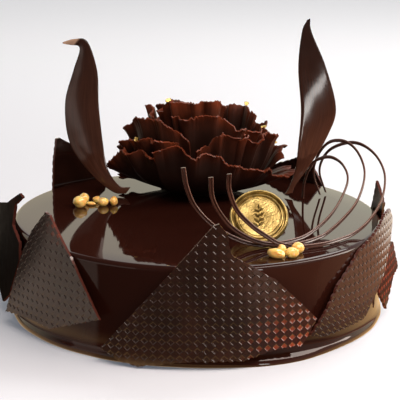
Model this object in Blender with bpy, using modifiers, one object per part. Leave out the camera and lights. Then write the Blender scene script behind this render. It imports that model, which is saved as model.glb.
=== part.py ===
"""Round glazed chocolate truffle cake with embossed chocolate panels round its side, a ruffled
chocolate flower, two tall curled leaves, three looped strands, a gold disc and caramelised nuts.

Metres. +Z is up, the front is toward -Y, the origin is the middle of the cake's flat underside.
Points given in millimetres are marked so and turned into metres where they are used.
"""
import math

import bmesh
import bpy

MM = 0.001
CLEAR = 0.0003           # gap kept between pieces that touch

CAKE_R = 0.1093          # side wall of the glazed cake
CAKE_H = 0.0565          # height of the glazed top
CAKE_ROUND = 0.0034      # rounding of the top edge
FOOT_R = 0.1112          # low foot of glaze that ran down the side
CAKE_STEPS = 60

PANEL_FACE_R = 0.1113    # distance of a panel's outer face from the middle, at the top edge
PANEL_T = 0.0017
PANEL_STRIP = 0.013      # a bent panel is flat for about this much

LEAF_T = 0.0014          # thickness of a tall leaf
LEAF_HOLLOW = 0.004      # how deep a leaf is cupped

FLOWER_Y = 0.058         # the flower stands behind the middle of the cake
FLOWER_DEPTH = 0.80      # its depth over its width
FAN_T = 0.0010           # thickness of a chocolate fan

STRAND_R = 0.0012
STRAND_THIN = 0.18       # part of its thickness that a strand loses by its far end

DISC_R = 0.0168
DISC_X = 0.0350
DISC_Y = -0.0575         # where the disc's lower edge stands
DISC_LEAN = math.radians(40.0)
DISC_SUNK = 0.0012       # depth that its round edge would reach into the glaze

for old in list(bpy.data.objects):
    bpy.data.objects.remove(old, do_unlink=True)
PARTS = bpy.data.collections.new("truffle_cake")
CUTTERS = bpy.data.collections.new("cutters")
for group in (PARTS, CUTTERS):
    bpy.context.scene.collection.children.link(group)


def material(name, colour, roughness, metallic=0.0):
    made = bpy.data.materials.new(name)
    made.use_nodes = True
    shader = made.node_tree.nodes["Principled BSDF"]
    shader.inputs["Base Color"].default_value = (*colour, 1.0)
    shader.inputs["Roughness"].default_value = roughness
    shader.inputs["Metallic"].default_value = metallic
    return made


GLAZE = material("mirror_glaze", (0.035, 0.012, 0.008), 0.06)
PANEL = material("embossed_chocolate", (0.060, 0.026, 0.018), 0.36)
LEAF = material("tempered_chocolate", (0.050, 0.020, 0.014), 0.26)
FLOWER = material("flower_chocolate", (0.075, 0.028, 0.016), 0.40)
STRAND = material("strand_chocolate", (0.070, 0.026, 0.018), 0.30)
GOLD = material("gold", (0.62, 0.47, 0.17), 0.30, 0.9)
NUT = material("caramel_nut", (0.66, 0.36, 0.11), 0.25)


def part(name, mesh, look, collection=PARTS):
    """Link a mesh as the object called name, in its own material."""
    made = bpy.data.objects.new(name, mesh)
    if look:
        mesh.materials.clear()
        mesh.materials.append(look)
    mesh.shade_smooth()
    collection.objects.link(made)
    return made


def from_bmesh(work, name):
    mesh = bpy.data.meshes.new(name)
    work.to_mesh(mesh)
    work.free()
    return mesh


def thicken(made, thickness, offset):
    shell = made.modifiers.new("thickness", "SOLIDIFY")
    shell.thickness = thickness
    shell.offset = offset


def lathe(name, profile, steps, look):
    """Turn a profile of (radius, height), drawn at +X from top to bottom, about Z."""
    mesh = bpy.data.meshes.new(name)
    edges = [(i, i + 1) for i in range(len(profile) - 1)]
    mesh.from_pydata([(r, 0.0, z) for r, z in profile], edges, [])
    made = part(name, mesh, look)
    turn = made.modifiers.new("turn", "SCREW")
    turn.steps = steps
    turn.render_steps = steps
    turn.use_merge_vertices = True
    turn.merge_threshold = 0.00001
    turn.use_normal_calculate = True
    return made


def loft(name, rows, look, thickness):
    """A sheet through rows of points, given its thickness to both sides."""
    work = bmesh.new()
    grid = [[work.verts.new(point) for point in row] for row in rows]
    for near, far in zip(grid, grid[1:]):
        for a, b, c, d in zip(near, near[1:], far[1:], far):
            work.faces.new((a, b, c, d))
    made = part(name, from_bmesh(work, name), look)
    thicken(made, thickness, 0.0)
    return made


def smooth_path(points, pieces):
    """Evenly spaced points of a Catmull-Rom curve through the given points."""
    first = [2.0 * a - b for a, b in zip(points[0], points[1])]
    last = [2.0 * a - b for a, b in zip(points[-1], points[-2])]
    chain = [first, *points, last]
    spans = len(points) - 1
    path = []
    for n in range(pieces + 1):
        at = spans * n / pieces
        i = min(spans - 1, int(at))
        t = at - i
        path.append([
            0.5 * (2.0 * b + (c - a) * t + (2.0 * a - 5.0 * b + 4.0 * c - d) * t ** 2
                   + (3.0 * b - a - 3.0 * c + d) * t ** 3)
            for a, b, c, d in zip(*chain[i:i + 4])
        ])
    return path


# ---- the glazed cake: one solid round with a rounded top edge and a low foot of glaze -----------
def cake():
    corner = CAKE_R - CAKE_ROUND
    edge = [
        (corner + CAKE_ROUND * math.sin(math.radians(a)),
         CAKE_H - CAKE_ROUND * (1.0 - math.cos(math.radians(a))))
        for a in (0.0, 30.0, 60.0, 90.0)
    ]
    foot = [(CAKE_R, 0.0090), (CAKE_R + 0.0004, 0.0052), (FOOT_R, 0.0032), (FOOT_R, 0.0012),
            (FOOT_R - 0.0008, 0.0)]
    lathe("cake", [(0.0, CAKE_H), *edge, *foot, (0.0, 0.0)], CAKE_STEPS, GLAZE)


# ---- the panels: thin bent plates cut to pointed shapes and leant against the side ---------------
def panel(name, outline, facing, bend, lean, yaw=0.0, away=0.0):
    """outline is (along, height) in mm. The plate faces `facing` degrees round from the front and
    is bent to the radius `bend`; its foot stands `lean` further out than the cake's top edge,
    `yaw` swings one end out, and `away` moves it all outward."""
    angle = math.radians(facing)
    work = bmesh.new()
    work.faces.new([work.verts.new((s * MM, 0.0, h * MM)) for s, h in outline])
    low = min(s for s, h in outline) * MM
    high = max(s for s, h in outline) * MM
    strips = math.ceil((high - low) / PANEL_STRIP)
    for i in range(1, strips):
        cut = low + (high - low) * i / strips
        bmesh.ops.bisect_plane(work, geom=work.verts[:] + work.edges[:] + work.faces[:],
                               dist=1e-6, plane_co=(cut, 0.0, 0.0), plane_no=(1.0, 0.0, 0.0))
    bmesh.ops.triangulate(work, faces=work.faces[:])
    for v in work.verts:
        turn = v.co.x / bend
        along = bend * math.sin(turn)
        out = PANEL_FACE_R + away + bend * (math.cos(turn) - 1.0)
        out += lean * (1.0 - v.co.z / CAKE_H) + yaw * v.co.x
        v.co.x = math.sin(angle) * out + math.cos(angle) * along
        v.co.y = -math.cos(angle) * out + math.sin(angle) * along
    work.normal_update()
    outward = sum(f.normal.x * math.sin(angle) - f.normal.y * math.cos(angle) for f in work.faces)
    if outward < 0.0:
        bmesh.ops.reverse_faces(work, faces=work.faces[:])
    thicken(part(name, from_bmesh(work, name), PANEL), PANEL_T, -1.0)


def panels():
    panel("panel_front",
          [(-60, 9), (-49, 3), (-38, 1), (-12, 5), (20, 5), (38, 10), (54, 10), (58, 15), (64, 24),
           (38, 49), (13, 64), (11, 75), (6, 81), (3, 80), (-29, 44)],
          facing=3, bend=0.130, lean=0.005)
    panel("panel_right",
          [(-46, 15), (-34, 12), (3, 13), (14, 20), (34, 31), (52, 47), (61, 58), (52, 66),
           (39, 66), (27, 61), (0, 54), (-22, 39), (-35, 24)],
          facing=55, bend=0.160, lean=0.004)
    panel("panel_right_far",
          [(-20, 27), (-19, 18), (-7, 6), (14, 20), (30, 21), (16, 41), (6, 45), (-10, 38)],
          facing=82, bend=0.400, lean=0.004, yaw=0.20, away=0.0012)
    panel("panel_right_rear",
          [(-17, 8), (17, 5), (8, 30), (-11, 56), (-20, 74), (-35, 64), (-29, 50), (-20, 38)],
          facing=110, bend=0.160, lean=0.003)
    panel("panel_rear_right",
          [(-24, 12), (0, 5), (22, 7), (30, 16), (20, 62), (-4, 71), (-14, 72), (-30, 50)],
          facing=147, bend=0.150, lean=0.003)
    panel("panel_rear",
          [(-20, 10), (4, 3), (26, 8), (14, 44), (4, 74), (0, 75), (-6, 66)],
          facing=190, bend=0.150, lean=0.003)
    panel("panel_rear_left",
          [(-28, 24), (-8, 8), (14, 6), (27, 12), (27, 74), (25, 88), (22, 88), (-4, 74),
           (-16, 66), (-24, 48)],
          facing=222, bend=0.150, lean=0.003)
    panel("panel_left_rear",
          [(-55, 30), (-31, 15), (-5, 7), (9, 20), (26, 44), (25, 52), (7, 58), (13, 71),
           (28, 79), (22, 80), (-8, 67), (-51, 56)],
          facing=282, bend=0.400, lean=0.004, yaw=-0.10, away=0.0016)
    panel("panel_left",
          [(-44, 9), (-15, 12), (3, 11), (41, 25), (17, 55), (-3, 75), (-7, 76), (-19, 63),
           (-27, 50)],
          facing=313, bend=0.220, lean=0.005)


# ---- the tall leaves: cupped sheets whose narrow foot stands on the cake -------------------------
def leaf(name, left_edge, right_edge, foot_y, body_y, tip_forward, rows=15, columns=3):
    """Both edges are (x, z) in mm from the tip down to the foot; the sheet steps back from its
    foot to body_y in the lowest part and its tip bends forward again."""
    sheet = []
    edges = zip(smooth_path(left_edge, rows), smooth_path(right_edge, rows))
    for j, ((x0, z0), (x1, z1)) in enumerate(edges):
        rise = min(1.0, max(0.0, (MM * (z0 + z1) / 2.0 - CAKE_H) / 0.026))
        bow = tip_forward * max(0.0, 1.0 - 5.0 * j / rows)
        y = foot_y + (body_y - foot_y) * math.sin(rise * math.pi / 2.0) - bow
        cup = LEAF_HOLLOW * min(1.0, abs(x1 - x0) / 14.0)
        row = []
        for i in range(columns + 1):
            u = i / columns
            row.append((MM * (x0 + (x1 - x0) * u), y + cup * 4.0 * u * (1.0 - u),
                        MM * (z0 + (z1 - z0) * u)))
        sheet.append(row)
    loft(name, sheet, LEAF, LEAF_T)


def leaves():
    leaf("leaf_left",
         [(-83, 149), (-79, 148), (-74, 146), (-78, 132), (-83, 112), (-80, 88), (-67, 70),
          (-53, 59), (-45, 58)],
         [(-83, 151), (-77, 152), (-69, 150), (-63, 132), (-62, 112), (-59, 88), (-57, 73),
          (-50, 63), (-44, 62)],
         foot_y=0.0425, body_y=0.0500, tip_forward=0.006)
    leaf("leaf_right",
         [(66, 165), (63, 158), (61, 137), (63, 111), (62, 92), (60, 72), (56, 61), (54, 58)],
         [(68, 166), (69, 158), (78, 137), (85, 111), (80, 94), (70, 77), (61, 64), (59, 59)],
         foot_y=0.0450, body_y=0.0510, tip_forward=-0.001)


# ---- the flower: thin ruffled fans on nested flaring cups, each with its own torn rim ------------
def cup_radius(z):
    """Radius in mm of the outermost cup, z mm above the cake's top."""
    return 12.0 + 46.0 * (1.0 - math.exp(-z / 8.0)) + 0.2 * z


def between(values, u):
    """Value at u, from 0 to 1, along evenly spaced values."""
    at = u * (len(values) - 1)
    i = min(len(values) - 2, int(at))
    return values[i] + (values[i + 1] - values[i]) * (at - i)


def fan(name, turn, nest, tops, foot, ruffles, sway, phase, columns, rows=3):
    """turn: its two ends, in degrees round the flower from the front. nest: the size of its cup at
    both ends, 1 being the outermost. tops: heights of its rim, and foot: of its lower edge, in mm
    above the cake. It has `ruffles` folds that swing its cup's size by `sway` at the rim."""
    sheet = []
    for i in range(columns + 1):
        u = i / columns
        phi = math.radians(turn[0] + (turn[1] - turn[0]) * u)
        fold = 2.0 * math.pi * ruffles * u
        wave = math.sin(fold + phase) + 0.35 * math.sin(1.7 * fold + 2.1 * phase)
        column = []
        for j in range(rows + 1):
            t = j / rows
            z = foot + (between(tops, u) - foot) * t ** 1.4
            size = nest[0] + (nest[1] - nest[0]) * u + sway * t ** 1.2 * wave
            r = MM * size * cup_radius(z)
            column.append((r * math.sin(phi), FLOWER_Y - FLOWER_DEPTH * r * math.cos(phi),
                           CAKE_H + MM * z))
        sheet.append(column)
    loft(name, sheet, FLOWER, FAN_T)


def flower():
    fan("fan_a_left", (-150, -20), (0.98, 0.76), [20, 16, 15, 19, 26, 33, 35, 32, 31, 30, 29],
        foot=1.1, ruffles=5.5, sway=0.052, phase=0.4, columns=26, rows=4)
    fan("fan_a_front", (-24, 106), (1.00, 0.95),
        [35, 38, 36, 30, 34, 33, 28, 31, 27, 23, 20, 17, 18, 16, 15],
        foot=1.1, ruffles=6.0, sway=0.062, phase=2.0, columns=28, rows=4)
    fan("fan_a_rear", (185, 120), (0.86, 0.94), [22, 26, 21, 24, 20],
        foot=1.1, ruffles=3.0, sway=0.045, phase=1.0, columns=14)
    fan("fan_b_left", (-116, -15), (0.78, 0.66), [22, 27, 32, 36, 40, 41, 40, 38],
        foot=6.5, ruffles=4.5, sway=0.044, phase=2.4, columns=24, rows=4)
    fan("fan_b_front", (-3, 70), (0.72, 0.76), [34, 39, 43, 38, 42, 39, 42, 40, 37],
        foot=6.5, ruffles=5.0, sway=0.052, phase=0.6, columns=24, rows=4)
    fan("fan_b_right", (78, 150), (0.79, 0.75), [26, 31, 27, 33, 30, 32],
        foot=6.5, ruffles=4.0, sway=0.042, phase=1.5, columns=16)
    fan("fan_b_rear", (158, 232), (0.69, 0.69), [30, 27, 32, 28, 31],
        foot=6.5, ruffles=3.0, sway=0.036, phase=0.5, columns=14)
    fan("fan_c_left", (-118, -9), (0.64, 0.55), [29, 36, 42, 50, 52, 51, 50, 46, 41],
        foot=5.5, ruffles=4.0, sway=0.040, phase=0.9, columns=22, rows=4)
    fan("fan_c_front", (-28, 74), (0.44, 0.58), [53, 54, 51, 53, 54, 51, 48, 45, 45, 42],
        foot=5.5, ruffles=4.0, sway=0.034, phase=3.6, columns=22, rows=4)
    fan("fan_c_right", (80, 160), (0.61, 0.56), [40, 44, 41, 45, 43],
        foot=5.5, ruffles=3.5, sway=0.036, phase=2.2, columns=14)
    fan("fan_c_rear", (168, 236), (0.52, 0.54), [44, 40, 45, 41],
        foot=5.5, ruffles=2.5, sway=0.034, phase=1.2, columns=12)
    fan("fan_d_left", (-128, -74), (0.44, 0.40), [48, 54, 55, 49],
        foot=3.5, ruffles=2.0, sway=0.040, phase=0.8, columns=10)
    fan("fan_d_front", (-66, 44), (0.325, 0.30), [58, 61, 60, 60, 60, 59, 61, 61, 58],
        foot=3.5, ruffles=3.5, sway=0.038, phase=2.8, columns=20, rows=4)
    fan("fan_d_right", (86, 172), (0.46, 0.42), [44, 49, 52, 54, 54, 50],
        foot=3.5, ruffles=3.0, sway=0.036, phase=0.2, columns=14)
    fan("fan_d_rear", (182, 286), (0.34, 0.31), [52, 56, 53, 56, 52],
        foot=3.5, ruffles=3.0, sway=0.032, phase=1.9, columns=14)
    fan("fan_heart", (-120, 200), (0.13, 0.19), [50, 54, 52, 55, 53, 54],
        foot=3.5, ruffles=3.0, sway=0.018, phase=0.0, columns=18)


# ---- the strands: piped chocolate threads that curl up at the left and loop round at the right ---
def strand(name, keys, pieces=36):
    """keys are points in mm from the free left end to the end that stands behind on the cake."""
    lowest = CAKE_H + CLEAR + STRAND_R
    data = bpy.data.curves.new(name, "CURVE")
    data.dimensions = "3D"
    data.bevel_depth = STRAND_R
    data.bevel_resolution = 1
    data.use_fill_caps = True
    line = data.splines.new("POLY")
    line.points.add(pieces)
    for n, (x, y, z) in enumerate(smooth_path(keys, pieces)):
        line.points[n].co = (MM * x, MM * y, max(MM * z, lowest), 1.0)
        line.points[n].radius = 1.0 - STRAND_THIN * n / pieces
    bent = bpy.data.objects.new(name + "_line", data)
    PARTS.objects.link(bent)
    graph = bpy.context.evaluated_depsgraph_get()
    work = bmesh.new()
    work.from_mesh(bpy.data.meshes.new_from_object(bent.evaluated_get(graph)))
    bmesh.ops.remove_doubles(work, verts=work.verts[:], dist=0.000001)
    bpy.data.objects.remove(bent, do_unlink=True)
    part(name, from_bmesh(work, name), STRAND)


def strands():
    strand("strand_left",
           [(-8, -85, 106), (-6, -82, 94), (-1, -79, 82), (10, -76, 70), (25, -72, 61),
            (38, -69, 58), (53, -60, 58), (65, -46, 59), (79, -28, 67), (88, -11, 80),
            (86, -2, 88), (79, 7, 91), (71, 15, 87), (67, 22, 79), (65, 30, 68), (65, 37, 58)])
    strand("strand_middle",
           [(7, -90, 102), (8, -87, 90), (13, -83, 79), (21, -78, 69), (34, -73, 61),
            (48, -68, 58), (60, -63, 58), (71, -50, 58), (83, -37, 64), (93, -25, 73),
            (98, -11, 85), (95, 0, 95), (88, 9, 100), (79, 17, 98), (73, 26, 88), (71, 35, 74),
            (76, 46, 58)])
    strand("strand_right",
           [(17, -90, 104), (17, -87, 95), (21, -84, 83), (29, -80, 73), (39, -77, 65),
            (47, -74, 60), (60, -71, 58), (73, -64, 58), (86, -50, 58), (98, -37, 63),
            (107, -24, 73), (110, -10, 84), (106, 0, 93), (98, 10, 98), (89, 19, 97),
            (79, 30, 89), (75, 40, 75), (80, 52, 58)])


# ---- the gold disc: a round with two raised rings, leaning back, its lower edge cut flat ---------
def gold_disc():
    face = 0.0009
    ring = 0.0013
    rim = 0.0016
    back = -0.0015
    profile = [(0.0, face), (0.0118, face), (0.0123, ring), (0.0130, ring), (0.0134, face),
               (0.0146, face), (0.0152, rim), (DISC_R - 0.0007, rim), (DISC_R, 0.0010),
               (DISC_R, -0.0010), (DISC_R - 0.0006, back), (0.0, back)]
    disc = lathe("gold_disc", profile, 36, GOLD)
    disc.rotation_euler = (math.pi / 2.0 - DISC_LEAN, 0.0, 0.0)
    disc.location = (DISC_X, DISC_Y + DISC_R * math.sin(DISC_LEAN),
                     CAKE_H - DISC_SUNK + DISC_R * math.cos(DISC_LEAN))
    work = bmesh.new()
    bmesh.ops.create_cube(work, size=0.04)
    cutter = part("disc_foot_cutter", from_bmesh(work, "disc_foot_cutter"), None, CUTTERS)
    cutter.location = (DISC_X, DISC_Y, CAKE_H + CLEAR - 0.02)
    cutter.hide_render = True
    cutter.display_type = "WIRE"
    foot = disc.modifiers.new("foot", "BOOLEAN")
    foot.operation = "DIFFERENCE"
    foot.solver = "EXACT"
    foot.object = cutter


# ---- the nuts: small uneven rounds in two groups, lying on the glaze ------------------------------
def nut(name, x, y, half_sizes, spin):
    """x, y and half_sizes in mm; spin in degrees about Z."""
    a, b, c = half_sizes
    turn = math.radians(spin)
    work = bmesh.new()
    bmesh.ops.create_icosphere(work, subdivisions=2, radius=1.0)
    for v in work.verts:
        along = v.co.x * a * (1.0 + 0.10 * v.co.y)
        across = v.co.y * b * (1.0 - 0.12 * v.co.x)
        v.co = (MM * (x + along * math.cos(turn) - across * math.sin(turn)),
                MM * (y + along * math.sin(turn) + across * math.cos(turn)),
                CAKE_H + CLEAR + MM * c * (1.0 + v.co.z))
    part(name, from_bmesh(work, name), NUT)


def nuts():
    groups = {
        "left": [(-71.4, 14.5, (4.3, 3.9, 3.7), 0), (-69.4, 24.6, (3.0, 3.2, 3.3), 20),
                 (-65.0, 19.4, (2.9, 1.4, 1.3), -14), (-62.0, 26.6, (2.4, 2.1, 2.1), 0),
                 (-57.6, 18.4, (3.3, 3.1, 2.8), 10), (-51.2, 19.8, (2.4, 2.8, 3.0), 0)],
        "front": [(43.2, -88.0, (5.6, 3.1, 2.9), -38), (46.8, -80.6, (2.6, 2.5, 3.0), 0),
                  (52.2, -87.0, (3.9, 3.1, 3.0), 5), (55.8, -78.6, (3.7, 2.9, 3.3), 12)],
    }
    for group, members in groups.items():
        for n, (x, y, half_sizes, spin) in enumerate(members, start=1):
            nut(f"nut_{group}_{n}", x, y, half_sizes, spin)


cake()
panels()
leaves()
flower()
strands()
gold_disc()
nuts()
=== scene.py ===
"""A round chocolate truffle cake dressed for the picture: mirror glaze, embossed chocolate panels,
curled leaves, a torn and ruffled chocolate flower, looped strands, a gold seal and caramel nuts.

Metres, +Z up, the front toward -Y, the origin in the middle of the cake's flat underside.
"""
import math
import random

import bmesh
import bpy
from mathutils import Matrix, Vector, noise


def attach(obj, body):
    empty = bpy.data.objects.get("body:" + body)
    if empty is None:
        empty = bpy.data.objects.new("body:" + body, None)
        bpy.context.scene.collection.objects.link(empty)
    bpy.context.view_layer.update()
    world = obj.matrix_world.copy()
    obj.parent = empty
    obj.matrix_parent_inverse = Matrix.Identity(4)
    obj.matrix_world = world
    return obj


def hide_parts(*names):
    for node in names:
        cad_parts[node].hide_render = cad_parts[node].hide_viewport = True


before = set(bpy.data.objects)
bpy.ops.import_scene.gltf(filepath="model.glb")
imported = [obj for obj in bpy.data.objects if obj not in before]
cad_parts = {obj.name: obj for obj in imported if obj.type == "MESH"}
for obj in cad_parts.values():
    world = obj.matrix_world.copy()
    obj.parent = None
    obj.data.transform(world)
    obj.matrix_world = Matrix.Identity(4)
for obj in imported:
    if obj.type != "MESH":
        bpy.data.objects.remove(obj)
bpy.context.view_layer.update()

# ==== the glazed cake =============================================================================
# One round of truffle cream and sponge under a poured mirror glaze of chocolate and gelatine. The
# glaze rounds the top edge, hugs the wall and gathers in a low uneven foot where it ran down.
CAKE_R = 0.1093
CAKE_H = 0.0565
CAKE_ROUND = 0.0028
FOOT_R = 0.1112
FOOT_H = 0.009
FOOT_SWAY = 0.0006
WALL_SWAY = 0.00012
POOL_DEPTH = 0.0034
POOL_SIDE = Vector((0.43, -0.90, 0.0))


def feed(node, inputs):
    """Set a node's inputs, each to a value, to an output, or to every output of a list."""
    for socket, value in inputs.items():
        for source in value if isinstance(value, list) else [value]:
            if isinstance(source, bpy.types.NodeSocket):
                node.id_data.links.new(source, node.inputs[socket])
            else:
                node.inputs[socket].default_value = source


def add(tree, kind, inputs=None, output=0, **settings):
    """One output, the first unless another is named, of a new node of that kind."""
    node = tree.nodes.new(kind)
    for name, value in settings.items():
        setattr(node, name, value)
    feed(node, inputs or {})
    return node.outputs[output]


def clouds(tree, scale, detail, place=None):
    """Noise about 0.5, over the object unless another place is given."""
    place = place or add(tree, "ShaderNodeTexCoord", output="Object")
    return add(tree, "ShaderNodeTexNoise", {"Vector": place, "Scale": scale, "Detail": detail})


def spread(tree, value, low, high, least=0.0, most=1.0):
    """value with low to high stretched to least to most, and kept between them."""
    return add(tree, "ShaderNodeMapRange", {0: value, 1: low, 2: high, 3: least, 4: most})


def bumps(tree, height, strength, depth):
    """A normal that follows the height."""
    return add(tree, "ShaderNodeBump", {"Strength": strength, "Distance": depth, "Height": height})


def blend_colour(tree, factor, first, second):
    """The colour from first to second, each (r, g, b) or an output, by a factor from 0 to 1."""
    first, second = ((*c, 1.0) if isinstance(c, tuple) else c for c in (first, second))
    return add(tree, "ShaderNodeMix", {0: factor, 6: first, 7: second}, output=2,
               data_type="RGBA")


def new_material(name):
    """A material, its node tree and the Principled BSDF in it."""
    made = bpy.data.materials.new(name)
    made.use_nodes = True
    return made, made.node_tree, made.node_tree.nodes["Principled BSDF"]


def mirror_glaze():
    made, tree, shader = new_material("mirror_glaze")
    feed(shader, {
        "IOR": 1.33,
        "Base Color": blend_colour(tree, clouds(tree, 14.0, 2.0), (0.014, 0.0038, 0.0026),
                                   (0.023, 0.0060, 0.0038)),
        "Roughness": spread(tree, clouds(tree, 90.0, 3.0), 0.0, 1.0, 0.02, 0.07),
        "Normal": bumps(tree, clouds(tree, 26.0, 1.0), 0.10, 0.0004)})
    return made


def in_scene(name, data):
    """A new object of that data in the scene."""
    made = bpy.data.objects.new(name, data)
    bpy.context.scene.collection.objects.link(made)
    return made


def as_piece(name, mesh, slot, *nodes):
    """Make the mesh a piece of the object that stands for those CAD nodes."""
    made = in_scene(name, mesh)
    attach(made, "root")
    if nodes:
        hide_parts(*nodes)


def shaded(mesh, sharp=None):
    """The mesh shaded smooth; edges that turn more than `sharp` degrees stay crisp."""
    mesh.shade_smooth()
    if sharp:
        mesh.set_sharp_from_angle(angle=math.radians(sharp))
    return mesh


def mesh_of(work, name, look, sharp=None):
    """A smooth-shaded mesh of a bmesh, which is used up."""
    mesh = bpy.data.meshes.new(name)
    work.to_mesh(mesh)
    work.free()
    mesh.materials.append(look)
    return shaded(mesh, sharp)


def turned(profile, steps, sway):
    """A bmesh of a profile of (radius, height), from top centre to bottom centre, turned about Z.
    sway(radius, height, angle) gives each point its own radius and height."""
    work = bmesh.new()
    top = work.verts.new((0.0, 0.0, profile[0][1]))
    bottom = work.verts.new((0.0, 0.0, profile[-1][1]))
    rings = []
    for radius, height in profile[1:-1]:
        ring = []
        for n in range(steps):
            angle = 2.0 * math.pi * n / steps
            r, z = sway(radius, height, angle)
            ring.append(work.verts.new((r * math.cos(angle), r * math.sin(angle), z)))
        rings.append(ring)
    for n in range(steps):
        m = (n + 1) % steps
        work.faces.new((top, rings[0][n], rings[0][m]))
        work.faces.new((bottom, rings[-1][m], rings[-1][n]))
        for upper, lower in zip(rings, rings[1:]):
            work.faces.new((upper[n], lower[n], lower[m], upper[m]))
    return work


def run_of_glaze(radius, height, angle):
    """The wall is very slightly uneven, and the foot runs out further in some places, most at
    the right of the front."""
    around = Vector((math.cos(angle), math.sin(angle), 0.0))
    low = max(0.0, 1.0 - height / FOOT_H)
    wall = WALL_SWAY * noise.noise(around * 2.2 + Vector((0.0, 0.0, 25.0 * height)))
    pool = POOL_DEPTH * math.exp(-15.0 * (around - POOL_SIDE).length_squared)
    foot = low * (FOOT_SWAY * noise.noise(around * 5.0) - 0.0002 + low * pool)
    return radius + (wall if radius > 0.8 * CAKE_R else 0.0) + foot, height


def glazed_cake():
    corner = CAKE_R - CAKE_ROUND
    profile = [(0.0, CAKE_H)]
    profile += [(corner * n / 8.0, CAKE_H) for n in range(1, 8)]
    profile += [(corner + CAKE_ROUND * math.sin(math.radians(a)),
                 CAKE_H - CAKE_ROUND * (1.0 - math.cos(math.radians(a))))
                for a in range(0, 91, 10)]
    profile += [(CAKE_R, z) for z in (0.046, 0.038, 0.030, 0.022, 0.015, 0.010)]
    profile += [(CAKE_R + 0.0002, 0.0070), (CAKE_R + 0.0006, 0.0052), (CAKE_R + 0.0012, 0.0040),
                (FOOT_R - 0.0002, 0.0031), (FOOT_R, 0.0022), (FOOT_R, 0.0012),
                (FOOT_R - 0.0004, 0.0004), (FOOT_R - 0.0010, 0.0), (0.0, 0.0)]
    work = turned(profile, 192, run_of_glaze)
    as_piece("glazed_cake", mesh_of(work, "glazed_cake", mirror_glaze()), "glaze", "cake")


glazed_cake()

# ==== the embossed panels =========================================================================
# Thin plates of dark chocolate, set on an embossed foil that leaves rows of hollows like small
# upturned pyramids with curved walls, bent while soft, broken into points and leant on the glaze.
MM = 0.001
PANEL_FACE_R = 0.1113
PANEL_T = 0.0017
PIT_ALONG = 0.00485
PIT_UP = 0.00455
PIT_DEPTH = 0.00034
PIT_OPENING = 0.493 * PIT_ALONG
PIT_FLOOR = 0.300 * PIT_ALONG
PIT_CURVE = 1.6
SCALLOP_DEPTH = 0.0007
BREAK_DEPTH = 0.00012


def new_tree(name, kind, inputs, outputs):
    """A node tree with those inputs and outputs, named by kind, and the sockets of its inputs."""
    tree = bpy.data.node_groups.new(name, kind)
    for side, sockets in (("INPUT", inputs), ("OUTPUT", outputs)):
        for socket_kind, names in sockets.items():
            for socket in names:
                tree.interface.new_socket(socket, in_out=side,
                                          socket_type="NodeSocket" + socket_kind)
    return tree, tree.nodes.new("NodeGroupInput").outputs


def cloudy_grain():
    """Shader group that the bare chocolate and the gold share: a cloudy colour, uneven gloss and
    a fine grain."""
    group, given = new_tree("cloudy_grain", "ShaderNodeTree", {
        "Color": ["Dark", "Light"],
        "Float": ["Cloud Scale", "Cloud Detail", "Cloud Low", "Cloud High", "Grain Scale",
                  "Least Roughness", "Most Roughness", "Bump", "Bump Depth"]},
        {"Color": ["Color"], "Float": ["Roughness"], "Vector": ["Normal"]})
    cloud = spread(group, clouds(group, given["Cloud Scale"], given["Cloud Detail"]),
                   given["Cloud Low"], given["Cloud High"])
    grain = clouds(group, given["Grain Scale"], 4.0)
    feed(group.nodes.new("NodeGroupOutput"), {
        "Color": blend_colour(group, cloud, given["Dark"], given["Light"]),
        "Roughness": spread(group, grain, 0.3, 0.7, given["Least Roughness"],
                            given["Most Roughness"]),
        "Normal": bumps(group, grain, given["Bump"], given["Bump Depth"])})
    return group


CLOUDY_GRAIN = cloudy_grain()


def place_grain(tree, shader, dark, light, cloud, gloss, bump, detail=5.0, patches=(0.3, 0.7),
                grain=160.0, depth=0.0003):
    """Feed the shader from the shared group; returns the group's colour to build on. gloss is the
    least and most roughness, and patches the noise where the colour is all dark and all light."""
    tone = add(tree, "ShaderNodeGroup", {
        "Dark": (*dark, 1.0), "Light": (*light, 1.0), "Cloud Scale": cloud,
        "Cloud Detail": detail, "Cloud Low": patches[0], "Cloud High": patches[1],
        "Grain Scale": grain, "Least Roughness": gloss[0], "Most Roughness": gloss[1],
        "Bump": bump, "Bump Depth": depth}, node_tree=CLOUDY_GRAIN).node.outputs
    feed(shader, {"Base Color": tone["Color"], "Roughness": tone["Roughness"],
                  "Normal": tone["Normal"]})
    return tone["Color"]


def stored(tree, name):
    """A value that the mesh stores under that name."""
    return add(tree, "ShaderNodeAttribute", output="Fac", attribute_name=name)


def calc(tree, operation, *values, clamp=False):
    """The result of a Math node on the given values or outputs."""
    return add(tree, "ShaderNodeMath", dict(enumerate(values)), operation=operation,
               use_clamp=clamp)


def layered(tree, colour, *layers):
    """The colour with the layers, each (how much, colour), laid over it in turn."""
    for factor, over in layers:
        colour = blend_colour(tree, factor, colour, over)
    return colour


def embossed_chocolate(name, ior, dark, light, gloss):
    """Painted red glow where light would come through the plate, strongest in its hollows;
    also redder along its broken edge.
    """
    made, tree, shader = new_material(name)
    base = place_grain(tree, shader, dark, light, cloud=60.0, gloss=gloss, bump=0.2)
    thin, pit, edge = (stored(tree, name) for name in ("thin", "pit", "edge"))
    # Painted light: a red glow near the given spot, brightest in the hollows, as if light came
    # through.
    colour = layered(tree, base,
                     (calc(tree, "MULTIPLY", thin, 0.6), (0.034, 0.0055, 0.0036)),
                     (calc(tree, "MULTIPLY", thin, pit), (0.23, 0.044, 0.020)),
                     (calc(tree, "MULTIPLY", edge, 0.5), (0.110, 0.030, 0.022)))
    feed(shader, {"IOR": ior, "Base Color": colour})
    return made


def vector(tree, x=0.0, y=0.0, z=0.0):
    return add(tree, "ShaderNodeCombineXYZ", {0: x, 1: y, 2: z})


def split(tree, place):
    """The x, y and z of a vector."""
    return add(tree, "ShaderNodeSeparateXYZ", {0: place}).node.outputs


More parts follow.
